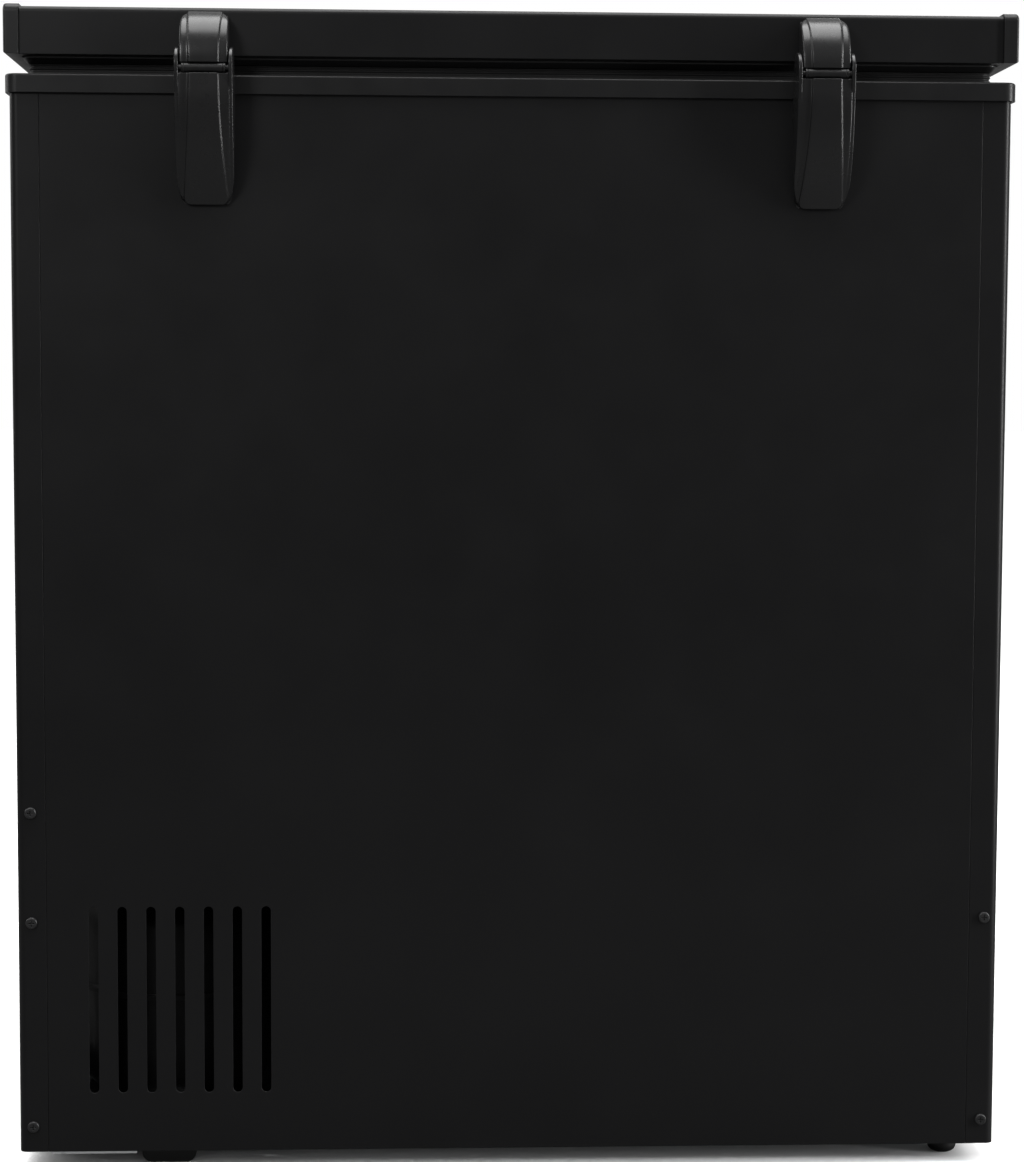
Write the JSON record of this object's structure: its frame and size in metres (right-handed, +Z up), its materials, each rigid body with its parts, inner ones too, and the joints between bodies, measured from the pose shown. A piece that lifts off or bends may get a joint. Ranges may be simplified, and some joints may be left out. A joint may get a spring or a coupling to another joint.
{
  "type": "chest freezer",
  "caption": "Black free-standing chest freezer with a spring-hinged lid, a sliding wire basket, a thermostat knob and a front drain.",
  "frame": {"origin": "on the floor, at the middle of the whole object's width and depth", "axes": "+Z up, -Y the front with the handle and controls, +Y the rear with the hinges, +X towards the compressor"},
  "size_m": [0.732, 0.573, 0.8518],
  "materials": {
    "black_steel": "satin",
    "galvanised": "satin",
    "foam": "matte",
    "liner_metal": "satin",
    "black_plastic": "satin",
    "white_plastic": "gloss",
    "copper": "satin",
    "aluminium_tube": "satin",
    "black_enamel": "satin",
    "rubber": "matte",
    "steel": "satin",
    "white_wire": "satin",
    "lamp": "gloss"
  },
  "bodies": {
    "cabinet": {"cabinet_wrap": "black_steel", "back_panel": "black_steel", "base_plate": "galvanised", "compressor_tray": "galvanised", "machine_room_plate": "galvanised", "cabinet_foam": "foam", "inner_liner": "liner_metal", "top_trim": "black_plastic", "evaporator_coil": "aluminium_tube", "condenser_coil": "copper", "back_panel_screws": "steel", "rear_left_foot": "black_plastic", "front_left_foot": "black_plastic", "front_right_foot": "black_plastic", "rear_right_foot_pad": "black_plastic", "compressor": "black_enamel", "compressor_grommets": "rubber", "compressor_studs": "steel", "relay_box": "black_plastic", "suction_tube": "copper", "discharge_tube": "copper", "process_tube": "copper", "liquid_tube": "copper", "filter_drier": "copper", "capillary_tube": "copper", "cord_grommet": "rubber", "control_panel": "black_plastic", "thermostat_body": "black_plastic", "indicator_lamps": "lamp", "drain_tube": "white_plastic", "drain_outlet": "black_plastic", "hinge_bracket_screws": "steel", "left_hinge_bracket": "galvanised", "left_hinge_pin": "steel", "left_hinge_spring": "steel", "left_hinge_spring_rod": "steel", "left_hinge_lower_cover": "black_plastic", "right_hinge_bracket": "galvanised", "right_hinge_pin": "steel", "right_hinge_spring": "steel", "right_hinge_spring_rod": "steel", "right_hinge_lower_cover": "black_plastic"},
    "lid": {"lid_skin": "black_steel", "lid_left_cap": "black_plastic", "lid_right_cap": "black_plastic", "lid_foam": "foam", "lid_liner": "white_plastic", "lid_gasket": "rubber", "lid_handle": "black_plastic", "hinge_leaf_screws": "steel", "left_hinge_leaf": "galvanised", "left_hinge_upper_cover": "black_plastic", "right_hinge_leaf": "galvanised", "right_hinge_upper_cover": "black_plastic"},
    "knob": {"thermostat_knob": "black_plastic", "thermostat_spindle": "white_plastic"},
    "basket": {"wire_basket": "white_wire"},
    "outer_drain_cap": {"drain_cap": "rubber"},
    "inner_drain_stopper": {"drain_stopper": "rubber"}
  },
  "joints": [
    {"name": "lid_hinge", "type": "hinge", "parent": "cabinet", "child": "lid", "pos_m": [0, 0.283, 0.8045], "axis": [-1, 0, 0], "range_deg": [0, 80]},
    {"name": "thermostat_turn", "type": "hinge", "parent": "cabinet", "child": "knob", "pos_m": [0.292, -0.2635, 0.19], "axis": [0, 1, 0], "range_deg": [0, 270]},
    {"name": "basket_slide", "type": "slide", "parent": "cabinet", "child": "basket", "axis": [-1, 0, 0], "range_m": [0, 0.36]},
    {"name": "drain_cap_pull", "type": "slide", "parent": "cabinet", "child": "outer_drain_cap", "axis": [0, -1, 0], "range_m": [0, 0.02]},
    {"name": "drain_stopper_lift", "type": "slide", "parent": "cabinet", "child": "inner_drain_stopper", "axis": [0, 0, 1], "range_m": [0, 0.03]}
  ]
}
